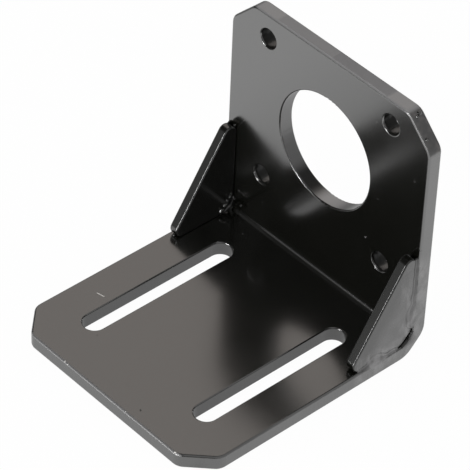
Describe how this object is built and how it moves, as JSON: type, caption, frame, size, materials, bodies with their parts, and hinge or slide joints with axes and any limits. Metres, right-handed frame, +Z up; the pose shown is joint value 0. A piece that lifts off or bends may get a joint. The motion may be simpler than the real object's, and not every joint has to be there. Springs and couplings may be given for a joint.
{
  "type": "motor mounting bracket",
  "caption": "Bent sheet-steel L bracket with welded corner gussets, a round pilot opening with screw holes in its upright and long fixing slots in its base.",
  "frame": {"origin": "middle of the footprint, on the underside of the base", "axes": "+X across the width to the right, +Y from the base's front edge to the back of the upright, +Z up"},
  "size_m": [0.05, 0.0536, 0.0515],
  "materials": {
    "black_paint": "gloss black paint over mild steel sheet"
  },
  "bodies": {
    "root": {"bent_plate": "black_paint", "left_gusset": "black_paint", "left_upright_weld": "black_paint", "left_base_weld": "black_paint", "right_gusset": "black_paint", "right_upright_weld": "black_paint", "right_base_weld": "black_paint"}
  },
  "joints": []
}
